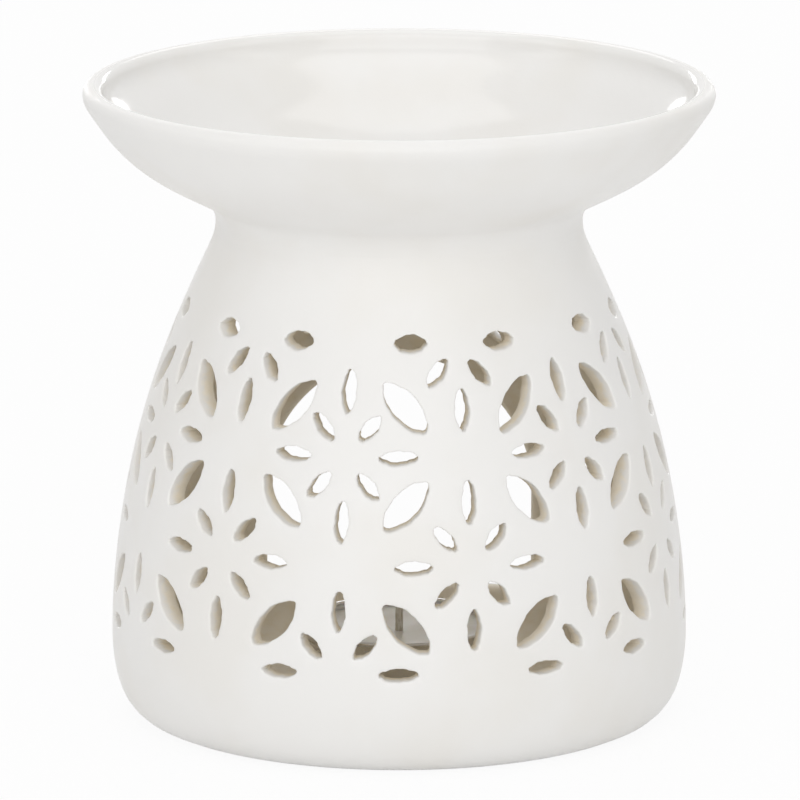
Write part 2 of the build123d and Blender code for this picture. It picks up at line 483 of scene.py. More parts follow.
@dataclass(frozen=True)
class Glaze:
    """White glaze, satin outside and glossy in the dish, with painted warm bounce light as cream
    inside the walls.
    """

    name: str = "white_glaze"
    coat: Colour = (0.885, 0.874, 0.853, 1)
    thin_coat: Colour = (0.865, 0.848, 0.815, 1)
    mottle: Cloud = Cloud(38, 3)
    mottle_span: Pair = (0.42, 0.68)
    # Cream of the unglazed foot; deep in the cuts and inside the bell the same cream is painted warm
    # bounce light
    clay_and_bounce: Colour = (0.945, 0.88, 0.76, 1)
    dark_clay_and_bounce: Colour = (0.915, 0.835, 0.685, 1)
    grog: Cloud = Cloud(420, 4)
    grog_span: Pair = (0.4, 0.7)
    gloss: float = 0.11
    gloss_edge: Pair = (0.2, 0.8)
    satin: Pair = (0.39, 0.49)
    clay_roughness: float = 0.8
    edge: Pair = (0.18, 0.66)
    ragged: Cloud = Cloud(700, 3)
    ragged_reach: Pair = (-0.12, 0.12)
    waves: Cloud = Cloud(110)
    wave_depth: float = 0.06 * MM
    pores: Cloud = Cloud(1500)
    pore_depth: float = 0.012 * MM
    refraction: float = 1.5

    def material(self) -> bpy.types.Material:
        """Make the material.

        Returns:
            A material that reads two numbers stored on a mesh: the share of painted bounce cream and
            unglazed foot, and the glossy share.
        """
        nodes = Nodes(self.name)
        ragged = nodes.carried(nodes.noise(self.ragged), MIDDLE, self.ragged_reach)
        # Deeper into the wall the colour turns to cream: painted warm bounce light inside, and the
        # real unglazed foot
        bare = nodes.carried(nodes.added(nodes.stored(Mark.BARE), ragged), self.edge, WHOLE)
        coat = nodes.clouded(nodes.noise(self.mottle), self.mottle_span, self.coat, self.thin_coat)
        clay_and_bounce = nodes.clouded(nodes.noise(self.grog), self.grog_span, self.clay_and_bounce, self.dark_clay_and_bounce)
        waves = nodes.noise(self.waves)
        satin = nodes.carried(waves, MIDDLE, self.satin)
        glossy = nodes.carried(nodes.stored(Mark.GLOSSY), self.gloss_edge, WHOLE)
        coat_roughness = nodes.blended(glossy, satin, self.gloss)
        skin = nodes.relief(waves, self.wave_depth)
        nodes.dress(
            Base_Color=nodes.mixed(bare, coat, clay_and_bounce),
            Roughness=nodes.blended(bare, coat_roughness, self.clay_roughness),
            Normal=nodes.relief(nodes.noise(self.pores), self.pore_depth, skin),
            IOR=self.refraction,
        )
        return nodes.material


@dataclass(frozen=True)
class PressedTin:
    """Thin bright aluminium with faint drawing marks."""

    name: str = "pressed_tin"
    bright: Colour = (0.83, 0.83, 0.84, 1)
    dull: Colour = (0.77, 0.77, 0.78, 1)
    marks: Cloud = Cloud(60, 4, (1, 1, 14))
    marks_span: Pair = (0.35, 0.7)
    roughness: Pair = (0.24, 0.34)
    dents: Cloud = Cloud(500)
    dent_depth: float = 0.02 * MM

    def material(self) -> bpy.types.Material:
        """Make the material.

        Returns:
            The metal of the cup.
        """
        nodes = Nodes(self.name)
        marks = nodes.noise(self.marks)
        nodes.dress(
            Base_Color=nodes.clouded(marks, self.marks_span, self.bright, self.dull),
            Roughness=nodes.carried(marks, MIDDLE, self.roughness),
            Normal=nodes.relief(nodes.noise(self.dents), self.dent_depth),
            Metallic=1.0,
        )
        return nodes.material


@dataclass(frozen=True)
class Paraffin:
    """White candle wax, slightly cloudy."""

    name: str = "candle_wax"
    clear: Colour = (0.90, 0.89, 0.85, 1)
    cloudy: Colour = (0.86, 0.84, 0.785, 1)
    clouds: Cloud = Cloud(180, 3)
    clouds_span: Pair = (0.35, 0.7)
    roughness: Pair = (0.3, 0.5)
    ripples: Cloud = Cloud(260)
    ripple_depth: float = 0.1 * MM
    depth_share: float = 0.35
    depth: float = 3 * MM
    depth_of_colours: Place = (1.0, 0.7, 0.4)

    def material(self) -> bpy.types.Material:
        """Make the material.

        Returns:
            Wax that takes light in below its surface.
        """
        nodes = Nodes(self.name)
        clouds = nodes.noise(self.clouds)
        nodes.dress(
            Base_Color=nodes.clouded(clouds, self.clouds_span, self.clear, self.cloudy),
            Roughness=nodes.carried(clouds, MIDDLE, self.roughness),
            Normal=nodes.relief(nodes.noise(self.ripples), self.ripple_depth),
            Subsurface_Weight=self.depth_share,
            Subsurface_Scale=self.depth,
            Subsurface_Radius=self.depth_of_colours,
        )
        return nodes.material


@dataclass(frozen=True)
class Cotton:
    """Waxed cotton plait."""

    name: str = "cotton_wick"
    clean: Colour = (0.80, 0.77, 0.69, 1)
    shaded: Colour = (0.62, 0.57, 0.47, 1)
    fibres: Cloud = Cloud(2600, 3, (1, 1, 0.25))
    fibres_span: Pair = (0.35, 0.7)
    roughness: Pair = (0.65, 0.85)
    fibre_depth: float = 0.08 * MM

    def material(self) -> bpy.types.Material:
        """Make the material.

        Returns:
            Cotton with fibres that run along the wick.
        """
        nodes = Nodes(self.name)
        fibres = nodes.noise(self.fibres)
        nodes.dress(
            Base_Color=nodes.clouded(fibres, self.fibres_span, self.clean, self.shaded),
            Roughness=nodes.carried(fibres, MIDDLE, self.roughness),
            Normal=nodes.relief(fibres, self.fibre_depth),
        )
        return nodes.material


@dataclass(frozen=True)
class TinPlate:
    """Tin-plated steel with a grey bloom."""

    name: str = "tin_plate"
    bright: Colour = (0.58, 0.58, 0.59, 1)
    bloom: Colour = (0.43, 0.43, 0.43, 1)
    patches: Cloud = Cloud(300, 4)
    patches_span: Pair = (0.4, 0.65)
    roughness: Pair = (0.35, 0.6)
    patch_depth: float = 0.02 * MM

    def material(self) -> bpy.types.Material:
        """Make the material.

        Returns:
            The metal of the wick's foot.
        """
        nodes = Nodes(self.name)
        patches = nodes.noise(self.patches)
        nodes.dress(
            Base_Color=nodes.clouded(patches, self.patches_span, self.bright, self.bloom),
            Roughness=nodes.carried(patches, MIDDLE, self.roughness),
            Normal=nodes.relief(patches, self.patch_depth),
            Metallic=1.0,
        )
        return nodes.material


@dataclass(frozen=True)
class Knife:
    """How the leaves are cut: full sides, blunt tips, a straying line and rounded rims."""

    tip_radius: float = 0.3 * MM
    bulge: float = 1.5
    fullness: float = 1.06
    stray: float = 0.07 * MM
    stray_waves: tuple[Pair, ...] = ((2, 0.8), (5, 0.8), (9, 0.7), (14, 0.6))
    stray_shift: float = 0.7
    points: int = 36
    rim: Pair = (0.42 * MM, 0.3 * MM)
    rim_steps: int = 3


@dataclass(frozen=True)
class Leaf:
    """One leaf-shaped cut: its place on the wall, its turn and its size."""

    angle: float
    height: float
    tilt: float
    length: float
    width: float
    serial: int = 0

    def outline(self, knife: Knife) -> np.ndarray:
        """Points round the cut, each with the direction that leads away from it.

        Args:
            knife: How the cuts are made.

        Returns:
            Rows of a distance across, a height and the two parts of a unit direction.
        """
        half_length = self.length / 2 - knife.tip_radius
        half_width = self.width / 2 * knife.fullness - knife.tip_radius
        half_step = 0.5
        phase = (np.arange(knife.points) + half_step) / knife.points * FULL_TURN
        side = np.sign(np.sin(phase)) * np.abs(np.sin(phase)) ** knife.bulge
        steep = knife.bulge * np.abs(np.sin(phase)) ** (knife.bulge - 1) * np.cos(phase)
        away = np.stack([half_width * steep, half_length * np.sin(phase)], axis=1)
        away /= np.linalg.norm(away, axis=1)[:, None]
        stray = sum(
            share * np.sin(waves * phase + self.serial * (waves + knife.stray_shift))
            for waves, share in knife.stray_waves
        )
        core = np.stack([half_length * np.cos(phase), half_width * side], axis=1)
        core += away * (knife.tip_radius + knife.stray * stray)[:, None]
        table = np.concatenate([core, away], axis=1)
        turn = math.radians(self.tilt)
        spin = np.array([[math.cos(turn), math.sin(turn)], [-math.sin(turn), math.cos(turn)]])
        table[:, :2] = table[:, :2] @ spin
        table[:, 2:] = table[:, 2:] @ spin
        table[:, 1] += self.height
        return table


@dataclass
class Wall:
    """Wall of the bell: both faces, laid out against one measure that runs up a flat sheet."""

    foot_radius: float = 45.0 * MM
    belly_radius: float = 55.05 * MM
    belly_height: float = 15.5 * MM
    neck_radius: float = NECK_RADIUS
    neck_height: float = NECK_HEIGHT
    thickness: float = 4.0 * MM
    floor: float = CHAMBER_FLOOR
    seam: float = 237.2
    measure_points: int = 1600
    curve_points: int = 2400
    foot_shares: tuple[Pair, ...] = ((0.455, 0.045), (0.714, 0.1935), (0.941, 0.581))
    flank_shares: tuple[Pair, ...] = (
        (0.9235, 0.257),
        (0.737, 0.4955),
        (0.447, 0.7215),
        (0.078, 0.935),
        (0.017, 0.9725),
    )

    def __post_init__(self) -> None:
        """Work out both faces of the wall."""
        self.measure = np.linspace(0, self.neck_height, self.measure_points)
        self.outer = self._face(0, 0)
        self.inner = self._face(self.thickness, self.floor)

    @property
    def start(self) -> float:
        """Angle at which the flat sheet starts, in radians from the front."""
        return math.radians(self.seam) - FULL_TURN

    def _knots(self, inset: float) -> list[Pair]:
        """Points of the flank from belly to neck.

        Args:
            inset: How far they lie inside the outer face.

        Returns:
            Radius and height of each point.
        """
        belly, neck = self.belly_radius - inset, self.neck_radius - inset
        knots = [(belly, self.belly_height)]
        for width_share, rise_share in self.flank_shares:
            height = between(self.belly_height, self.neck_height, rise_share)
            knots.append((between(neck, belly, width_share), height))
        return knots + [(neck, self.neck_height)]

    def _face(self, inset: float, base: float) -> np.ndarray:
        """Radius and height of one face of the wall at each step of the measure.

        Args:
            inset: How far the face lies inside the outer one.
            base: Height of the level base that the face starts from.

        Returns:
            Rows of radius and height, one for each step of the measure.
        """
        flank = smooth_curve(self._knots(inset), (0, 1), (0, 1), self.curve_points)
        start, belly = self.foot_radius - inset, self.belly_radius - inset
        knots = [(start, base)]
        for width_share, rise_share in self.foot_shares:
            radius = between(start, belly, width_share)
            knots.append((radius, between(base, self.belly_height, rise_share)))
        knots.append((belly, self.belly_height))
        foot = smooth_curve(knots, (1, 0), (0, 1), self.curve_points)
        along = np.concatenate([[0], np.cumsum(np.linalg.norm(np.diff(foot, axis=0), axis=1))])
        share = np.clip(self.measure / self.belly_height, 0, 1) * along[-1]
        low = np.stack([np.interp(share, along, foot[:, i]) for i in (0, 1)], axis=1)
        high = np.stack([np.interp(self.measure, flank[:, 1], flank[:, 0]), self.measure], axis=1)
        return np.where((self.measure < self.belly_height)[:, None], low, high)

    def chord_radius(self, height: float) -> float:
        """Outer radius at a height, on straight chords between the points of the flank."""
        knots = self._knots(0)
        return float(np.interp(height, [z for _, z in knots], [r for r, _ in knots]))

    def flattened(
        self, angle: float, across: np.ndarray, height: np.ndarray, depth: float
    ) -> np.ndarray:
        """Where points of a straight cut through the wall lie in the flat sheet.

        Args:
            angle: Angle of the cut, in degrees from the front.
            across: Distances to the side of the cut's middle.
            height: Heights above the table.
            depth: Depth below the outer face of the wall.

        Returns:
            Rows of X, Y and Z in the flat sheet.
        """
        share = depth / self.thickness
        face = self.outer * (1 - share) + self.inner * share
        measure = np.interp(height, face[:, 1], self.measure)
        reach = np.interp(measure, self.measure, face[:, 0])
        middle = (math.radians(angle) - self.start) % FULL_TURN + self.start
        turn = middle + np.arcsin(np.clip(across / reach, -1, 1))
        return np.stack([turn * self.belly_radius, np.full_like(turn, depth), measure], axis=1)

    def wrapped(self, flat: np.ndarray) -> np.ndarray:
        """Wrap points of the flat sheet round into the bell.

        Args:
            flat: Rows of X, Y and Z in the flat sheet.

        Returns:
            Rows of X, Y and Z in the bell.
        """
        share = (flat[:, 1] / self.thickness)[:, None]
        outer, inner = (
            np.stack([np.interp(flat[:, 2], self.measure, face[:, i]) for i in (0, 1)], axis=1)
            for face in (self.outer, self.inner)
        )
        radius, height = (outer * (1 - share) + inner * share).T
        turn = flat[:, 0] / self.belly_radius
        return np.stack([radius * np.sin(turn), -radius * np.cos(turn), height], axis=1)


@dataclass(frozen=True)
class Arch:
    """Round-topped opening in the back wall, through which the tealight goes."""

    radius: float = 26.0 * MM
    centre_height: float = 33.0 * MM
    sill_height: float = 11.8 * MM
    margin: float = 3.0 * MM
    rim: Pair = (1.3 * MM, 1.3 * MM)
    rim_steps: int = 6
    crown_points: int = 44
    side_points: int = 14
    sill_points: int = 28

    def misses(self, leaf: Leaf, wall: Wall) -> bool:
        """Whether a leaf keeps its margin to the opening, on both faces of the wall.

        Args:
            leaf: The leaf-shaped cut.
            wall: The wall that it goes through.

        Returns:
            True where it can be cut.
        """
        turn = math.radians(leaf.angle)
        if math.cos(turn) > 0:
            return True
        outer = wall.chord_radius(leaf.height)
        for radius in (outer, outer - wall.thickness):
            for reach in (-leaf.length / 2, 0, leaf.length / 2):
                across = reach * math.cos(math.radians(leaf.tilt)) - radius * math.sin(turn)
                tip = leaf.height + reach * math.sin(math.radians(leaf.tilt))
                above = max(0, tip - self.centre_height)
                if math.hypot(across, above) < self.radius + self.margin:
                    return False
        return True

    def outline(self) -> np.ndarray:
        """Points round the opening, each with the direction that leads away from it.

        Returns:
            Rows of a distance across, a height and the two parts of a direction.
        """
        rows = []
        for x, z in arc((0, 0), 1, 0, HALF_DEGREES, self.crown_points):
            rows.append((self.radius * x, self.centre_height + self.radius * z, x, z))
        for i in range(1, self.side_points):
            height = between(self.centre_height, self.sill_height, i / self.side_points)
            rows.append((-self.radius, height, -1, 0))
        rows.append((-self.radius, self.sill_height, -1, -1))
        for i in range(1, self.sill_points):
            across = between(-self.radius, self.radius, i / self.sill_points)
            rows.append((across, self.sill_height, 0, -1))
        rows.append((self.radius, self.sill_height, 1, -1))
        for i in range(1, self.side_points):
            height = between(self.sill_height, self.centre_height, i / self.side_points)
            rows.append((self.radius, height, 1, 0))
        return np.array(rows)


@dataclass(frozen=True)
class Lattice:
    """Rows of nodes round the bell, with leaf-shaped cuts between them."""

    row_count: int = 4
    top_row: float = 80.0 * MM
    bottom_row: float = 20.0 * MM
    front_columns: int = 12
    back_columns: int = 2
    column_step: float = 27.1
    turn: float = 1.44
    large: Pair = (0.605, 0.2475)
    upright: Pair = (0.39, 0.128)
    lying: Pair = (0.3625, 0.12)
    top_stretch: Pair = (0.84, 1.3)
    small: Pair = (0.3, 0.125)
    large_drop_share: float = 0.065
    large_steeper: float = 8.0
    upright_rise_share: float = 0.09
    small_offset_share: float = 0.26
    lying_turn: float = 1.54
    small_turn: float = 5.4
    hand_turn: float = 1.6
    hand_turn_step: float = 1.7
    hand_shift: float = 0.15 * MM
    hand_shift_step: float = 3.1
    hand_size_share: float = 0.025
    hand_size_step: float = 2.4

    @property
    def pitch(self) -> float:
        """Distance from one row of nodes to the next."""
        return (self.top_row - self.bottom_row) / (self.row_count - 1)

    def columns(self) -> list[float]:
        """Where the columns of nodes stand.

        Returns:
            Their angles, in degrees from the front towards +X.
        """
        middle = (self.front_columns - 1) / 2
        angles = [self.turn + (i - middle) * self.column_step for i in range(self.front_columns)]
        step = (angles[0] + FULL_DEGREES - angles[-1]) / (self.back_columns + 1)
        return angles + [angles[-1] + step * (i + 1) for i in range(self.back_columns)]

    def leaves(self, wall: Wall, arch: Arch) -> list[Leaf]:
        """Every leaf that clears the arched opening.

        Args:
            wall: The wall that the leaves are cut through.
            arch: The opening that they keep away from.

        Returns:
            The leaves, with the unevenness of cuts made by hand.
        """
        angles = self.columns()
        after = angles[1:] + angles[:1]
        gaps = [(right - left) % FULL_DEGREES for left, right in zip(angles, after)]
        plain: list[Leaf] = []
        for row in range(self.row_count):
            height = self.top_row - row * self.pitch
            for column, angle in enumerate(angles):
                opened = (row + column) % 2 == 0
                lying = self._lying(angle, gaps[column], height, opened)
                plain.append(self._plumper(lying) if row == 0 else lying)
                if row + 1 < self.row_count:
                    plain.append(self._upright(angle, height, opened))
                    plain.append(self._large(wall, angle, gaps[column], row, opened))
                if opened:
                    plain += self._small(wall, angle, (gaps[column - 1], gaps[column]), row)
        return [self._by_hand(leaf, i) for i, leaf in enumerate(plain) if arch.misses(leaf, wall)]

    def _lying(self, angle: float, gap: float, height: float, opened: bool) -> Leaf:
        """Lying leaf between a node and the next one, nearer to the open node of the two.

        Args:
            angle: Angle of the node, in degrees.
            gap: Angle from there to the next node.
            height: Height of the row.
            opened: Whether the node is an open one.

        Returns:
            The leaf.
        """
        pitch = self.pitch * gap / self.column_step
        middle = angle + gap / 2 + (-1 if opened else 1) * self.lying_turn
        return Leaf(middle, height, 0, pitch * self.lying[0], pitch * self.lying[1])

    def _plumper(self, leaf: Leaf) -> Leaf:
        """A leaf of the top row, which is shorter and fuller than the others."""
        longer, wider = self.top_stretch
        return Leaf(leaf.angle, leaf.height, leaf.tilt, leaf.length * longer, leaf.width * wider)

    def _upright(self, angle: float, height: float, opened: bool) -> Leaf:
        """Standing leaf below a node, nearer to the closed node of the two that it joins.

        Args:
            angle: Angle of the node, in degrees.
            height: Height of its row.
            opened: Whether the node is an open one.

        Returns:
            The leaf.
        """
        away = -1 if opened else 1
        middle = height - self.pitch / 2 + away * self.pitch * self.upright_rise_share
        length, width = self.pitch * self.upright[0], self.pitch * self.upright[1]
        return Leaf(angle, middle, QUARTER_DEGREES, length, width)

    def _large(self, wall: Wall, angle: float, gap: float, row: int, opened: bool) -> Leaf:
        """Large leaf across the cell below and beside a node.

        Args:
            wall: The wall that the leaf is cut through.
            angle: Angle of the node, in degrees.
            gap: Angle from there to the next node.
            row: Number of its row, counted from the top.
            opened: Whether the node is an open one.

        Returns:
            The leaf.
        """
        middle = self.top_row - row * self.pitch - self.pitch / 2
        across = wall.chord_radius(middle) * math.radians(gap)
        slope = self.large_steeper + math.degrees(math.atan2(self.pitch, across))
        drop = self.pitch * self.large_drop_share * (1 if row % 2 == 0 else -1)
        tilt = slope if opened else -slope
        pitch = self.pitch * gap / self.column_step
        length, width = pitch * self.large[0], pitch * self.large[1]
        return Leaf(angle + gap / 2, middle - drop, tilt, length, width)

    def _small(self, wall: Wall, angle: float, gaps: Pair, row: int) -> list[Leaf]:
        """Small leaves that point at an open node from its diagonals.

        Args:
            wall: The wall that the leaves are cut through.
            angle: Angle of the node, in degrees.
            gaps: Angles to the nodes before and after it.
            row: Number of its row, counted from the top.

        Returns:
            Two leaves, or four where there are rows above and below.
        """
        sides = [-1] if row == 0 else [1]
        if 0 < row < self.row_count - 1:
            sides.append(-1)
        offset = self.pitch * self.small_offset_share
        leaves = []
        for side in sides:
            height = self.top_row - row * self.pitch + side * offset
            for hand, gap in zip((-1, 1), gaps):
                share = gap / self.column_step
                reach = wall.chord_radius(height) * math.radians(self.small_turn * share)
                slope = side * hand * math.degrees(math.atan2(offset, reach))
                pitch = self.pitch * share
                length, width = pitch * self.small[0], pitch * self.small[1]
                place = angle + hand * self.small_turn * share
                leaves.append(Leaf(place, height, slope, length, width))
        return leaves

    def _by_hand(self, leaf: Leaf, serial: int) -> Leaf:
        """Give a leaf the unevenness of a cut made by hand.

        Args:
            leaf: The even leaf.
            serial: Its number, which sets its small turn, shift and change of size.

        Returns:
            The leaf as it is cut.
        """
        size = 1 + self.hand_size_share * math.sin(serial * self.hand_size_step)
        tilt = leaf.tilt + self.hand_turn * math.sin(serial * self.hand_turn_step)
        height = leaf.height + self.hand_shift * math.sin(serial * self.hand_shift_step)
        return Leaf(leaf.angle, height, tilt, leaf.length * size, leaf.width * size, serial)


@dataclass
class Bell:
    """Pierced ceramic bell: a flat sheet with its cuts, wrapped round and closed."""

    wall: Wall = field(default_factory=Wall)
    arch: Arch = field(default_factory=Arch)
    lattice: Lattice = field(default_factory=Lattice)
    knife: Knife = field(default_factory=Knife)
    strips: int = 180
    bands: int = 72
    clearance: float = 0.5 * MM
    seam_reach: float = 1.2 * MM
    foot_ring: float = 1.6 * MM
    bare_edge: float = 0.5 * MM
    level_margin: float = 0.01 * MM
    # Kind 1 of filling keeps only the triangles that lie inside an outline
    fill_kind: int = 1
    fill_accuracy: float = 1e-6

    def build(self) -> Piece:
        """Model the bell.

        Returns:
            The bell, closed and with its faces outwards.
        """
        cuts = self._cuts()
        points: list[np.ndarray] = []
        faces: list[Sequence[int]] = []
        frame = self._frame(cuts)
        bases = []
        for ring, depth in ((0, 0.0), (-1, self.wall.thickness)):
            bases.append(sum(len(part) for part in points))
            layer, triangles = self._layer(frame, [cut[ring][:, [0, 2]] for cut in cuts])
            points.append(np.insert(layer, 1, depth, axis=1))
            faces += (triangles + bases[-1]).tolist()
        first = len(frame)
        for cut in cuts:
            count = cut.shape[1]
            base = sum(len(part) for part in points)
            points.append(cut[1:-1].reshape(-1, 3))
            rows = [base + count * i for i in range(len(cut) - 2)]
            rows = [bases[0] + first, *rows, bases[1] + first]
            for low, high in zip(rows, rows[1:]):
                for i in range(count):
                    after = (i + 1) % count
                    faces.append((low + i, low + after, high + after, high + i))
            first += count
        outer, inner = (base + self.strips + self.bands for base in bases)
        faces += [(outer + i, outer + i + 1, inner + i + 1, inner + i) for i in range(self.strips)]
        flat = np.concatenate(points)
        mesh = bpy.data.meshes.new("Pierced_Bell")
        mesh.from_pydata(self.wall.wrapped(flat).tolist(), [], faces)
        bell = bpy.data.objects.new("Pierced_Bell", mesh)
        bpy.context.scene.collection.objects.link(bell)
        # Depth into the wall, which the glaze turns into painted warm bounce light where it is deep
        write_numbers(bell, Mark.BARE, flat[:, 1] / self.wall.thickness)
        self._close(bell)
        return bell

    def dress(self, bell: Piece, finish: bpy.types.Material) -> None:
        """Shade the bell and give it its finish.

        Args:
            bell: The bell.
            finish: Its glaze.
        """
        shade(bell)
        bell.data.materials.append(finish)
        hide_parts("pierced_body")
        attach(bell, Body.BURNER.value)

    def _steps(self) -> tuple[np.ndarray, np.ndarray]:
        """Where the strips and the bands of the flat sheet end.

        Returns:
            Distances across the sheet and distances up it.
        """
        left = self.wall.start * self.wall.belly_radius
        across = left + np.linspace(0, FULL_TURN * self.wall.belly_radius, self.strips + 1)
        return across, np.linspace(0, self.wall.neck_height, self.bands + 1)

    def _seam(self, cuts: Sequence[np.ndarray]) -> np.ndarray:
        """How far the seam strays, to run halfway between the cuts beside it.

        Args:
            cuts: Rings of every cut.

        Returns:
            Its distance from a straight seam at the end of each band.
        """
        across, up = self._steps()
        middle = (across[0] + across[-1]) / 2
        before = np.full(len(up), -self.seam_reach)
        after = np.full(len(up), self.seam_reach)
        for cut in cuts:
            spots = cut.reshape(-1, 3)
            level = np.abs(spots[:, 2] - up[:, None]) < self.seam_reach
            if spots[:, 0].mean() < middle:
                gaps = np.where(level, spots[:, 0] - across[0], self.seam_reach)
                after = np.minimum(after, gaps.min(axis=1))
            else:
                gaps = np.where(level, spots[:, 0] - across[-1], -self.seam_reach)
                before = np.maximum(before, gaps.max(axis=1))
        return (before + after) / 2

    def _frame(self, cuts: Sequence[np.ndarray]) -> np.ndarray:
        """Points along the four edges of the sheet.

        Args:
            cuts: Rings of every cut.

        Returns:
            Rows of a distance across and one up, along the lower, right, upper and left edge.
        """
        across, up = self._steps()
        seam = self._seam(cuts)
        sides = [np.stack([edge + seam, up], axis=1) for edge in (across[-1], across[0])]
        inner = across[1:-1]
        low, high = (np.stack([inner, np.full(len(inner), z)], axis=1) for z in up[[0, -1]])
        return np.concatenate([sides[1][:1], low, sides[0], high[::-1], sides[1][:0:-1]])

    def _cuts(self) -> list[np.ndarray]:
        """Cut the lattice and the arched opening through the flat sheet.

        Returns:
            Rings of every cut, from the outer face to the inner one.
        """
        leaves = self.lattice.leaves(self.wall, self.arch)
        log.info("lattice: %d leaves", len(leaves))
        knife, arch = self.knife, self.arch
        cuts = [
            self._rings(leaf.angle, leaf.outline(knife), knife.rim, knife.rim_steps)
            for leaf in leaves
        ]
        return cuts + [self._rings(HALF_DEGREES, arch.outline(), arch.rim, arch.rim_steps)]

    def _rings(self, angle: float, table: np.ndarray, rim: Pair, steps: int) -> np.ndarray:
        """Rings of one cut with rounded rims.

        Args:
            angle: Angle of the cut, in degrees from the front.
            table: Outline rows of a distance across, a height and a direction.
            rim: Radius of the rounded rim on the outer and on the inner face.
            steps: Steps round each rim.

        Returns:
            An array of rings, of the points of each, in the flat sheet.
        """
        turns = [math.pi / 2 * i / steps for i in range(steps, -1, -1)]
        outer, inner = (
            [(radius * (1 - math.sin(t)), radius * (1 - math.cos(t))) for t in turns] for radius in rim
        )
        thickness = self.wall.thickness
        levels = outer + [(thickness - depth, growth) for depth, growth in reversed(inner)]
        rings = []
        for depth, growth in levels:
            grown = table[:, :2] + table[:, 2:] * growth
            rings.append(self.wall.flattened(angle, grown[:, 0], grown[:, 1], depth))
        return np.array(rings)

    def _layer(
        self, frame: np.ndarray, outlines: Sequence[np.ndarray]
    ) -> tuple[np.ndarray, np.ndarray]:
        """Fill one face of the sheet with triangles round its cuts.

        Args:
            frame: Points along the edges of the sheet.
            outlines: Outlines of the cuts in this face.

        Returns:
            The points, those of the frame and the outlines first, and the triangles.
        """
        across, up = self._steps()
        grid = np.array([(x, z) for x in across[1:-1] for z in up[1:-1]])
        for outline in outlines:
            low, high = outline.min(axis=0) - self.clearance, outline.max(axis=0) + self.clearance
            near = ((grid > low) & (grid < high)).all(axis=1)
            near[near] = self._crowded(grid[near], outline)
            grid = grid[~near]
        parts = [frame, *outlines, grid]
        points = np.concatenate(parts)
        starts = np.cumsum([0] + [len(part) for part in parts])
        borders = [list(range(low, high)) for low, high in zip(starts[:-2], starts[1:-1])]
        plane = [Vector(point) for point in points / MM]
        result = delaunay_2d_cdt(plane, [], borders, self.fill_kind, self.fill_accuracy, True)
        sources, regions = result[3], result[5]
        triangles = [
            [sources[corner][0] for corner in face]
            for face, region in zip(result[2], regions)
            if list(region) == [0]
        ]
        return points, np.array(triangles)

    def _crowded(self, points: np.ndarray, outline: np.ndarray) -> np.ndarray:
        """Which points lie in an outline or too near to it.

        Args:
            points: Rows of a distance across and one up.
            outline: Such rows round a cut.

        Returns:
            Whether each point has to go.
        """
        span = np.roll(outline, -1, axis=0) - outline
        offset = points[:, None] - outline[None]
        share = np.clip((offset * span).sum(axis=2) / (span**2).sum(axis=1), 0, 1)
        gaps = np.linalg.norm(offset - share[..., None] * span, axis=2).min(axis=1)
        least = 1e-12
        rise = np.where(np.abs(span[:, 1]) < least, least, span[:, 1])
        above = outline[:, 1] > points[:, None, 1]
        crossed = above != np.roll(above, -1, axis=1)
        left = offset[..., 0] < offset[..., 1] * span[:, 0] / rise
        return (gaps < self.clearance) | ((crossed & left).sum(axis=1) % 2 == 1)

    def _close(self, bell: Piece) -> None:
        """Join the seam of the wrapped sheet, and put in the foot and the chamber floor.

        Args:
            bell: The wrapped sheet.
        """
        open_edit(bell)
        bpy.ops.mesh.remove_doubles(threshold=WELD)
        close_edit()
        for height in (0.0, self.wall.floor):
            places = places_of(bell)
            radii = np.hypot(places[:, 0], places[:, 1])
            level = np.abs(places[:, 2] - height) < WELD
            pick_points(bell, level & (radii < self.wall.foot_radius + self.level_margin))
            bpy.ops.mesh.edge_face_add()
            if height == 0.0:
                bpy.ops.mesh.inset(thickness=self.foot_ring)
            close_edit()
        places = places_of(bell)
        bare = np.zeros(len(places), np.float32)
        bell.data.attributes[Mark.BARE.value].data.foreach_get("value", bare)
        radii = np.hypot(places[:, 0], places[:, 1])
        under = (np.abs(places[:, 2]) < WELD) & (radii < self.wall.foot_radius - self.bare_edge)
        bare[under] = 1
        write_numbers(bell, Mark.BARE, bare)
        face_outwards(bell)


